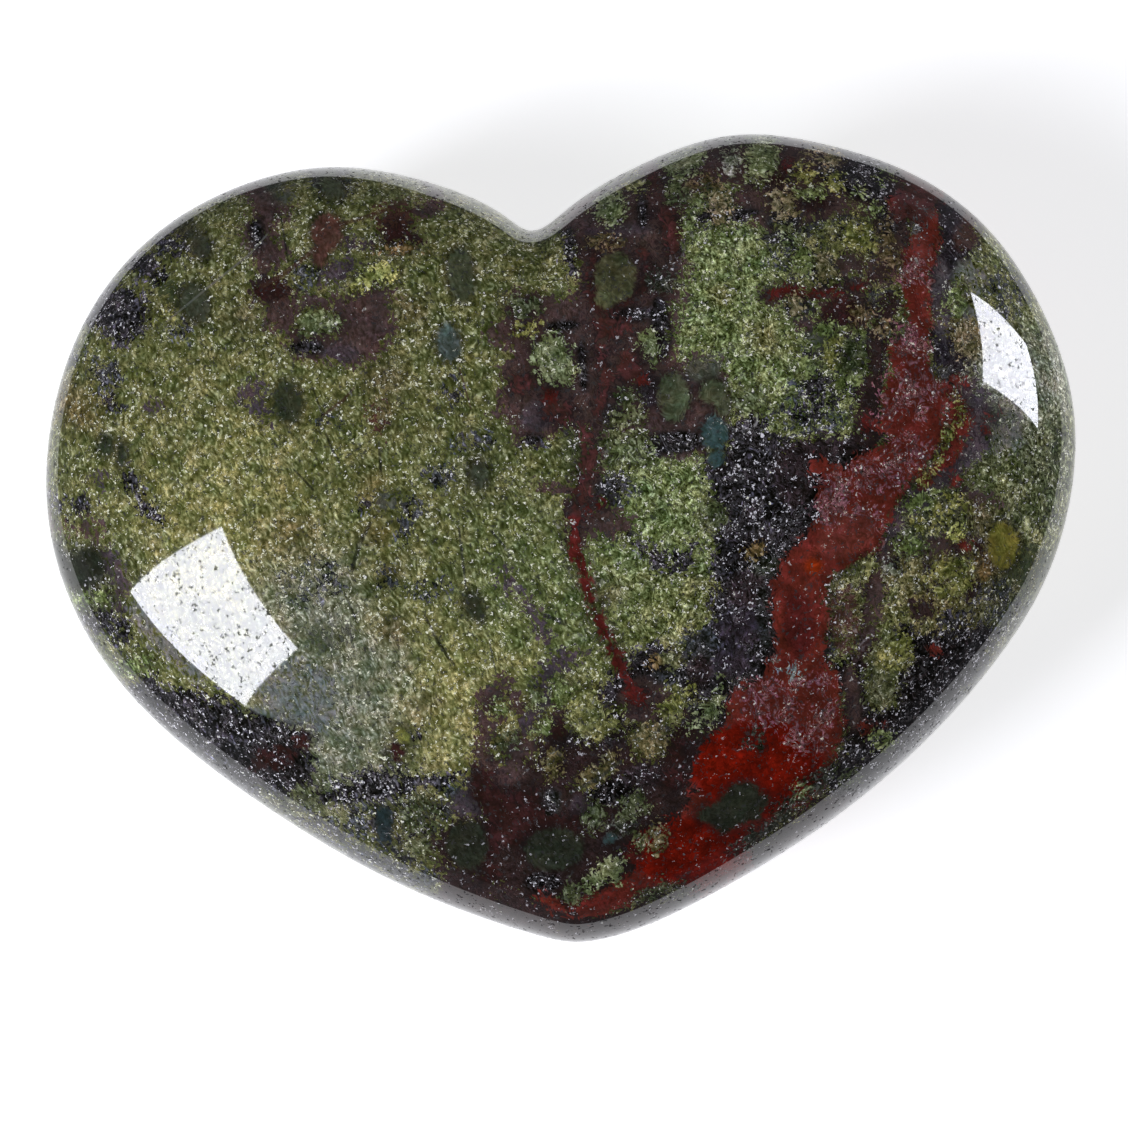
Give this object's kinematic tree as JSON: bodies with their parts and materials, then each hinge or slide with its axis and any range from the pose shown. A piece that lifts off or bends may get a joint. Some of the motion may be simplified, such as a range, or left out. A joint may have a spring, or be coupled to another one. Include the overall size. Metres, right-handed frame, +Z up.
{
  "type": "bloodstone heart",
  "caption": "Puffed heart cut from green and red bloodstone, tumbled to a high polish, with a rounded rim and a small flat on its back that it rests on.",
  "frame": {"origin": "on the surface that the stone lies on, under the middle of its outline", "axes": "+X across the heart, its widest way; +Y from the tip to the notch; +Z up through the thickness, out of the fuller face"},
  "size_m": [0.05, 0.0384, 0.0185],
  "materials": {
    "polished_bloodstone": "polished"
  },
  "bodies": {
    "root": {"heart_stone": "polished_bloodstone"}
  },
  "joints": []
}
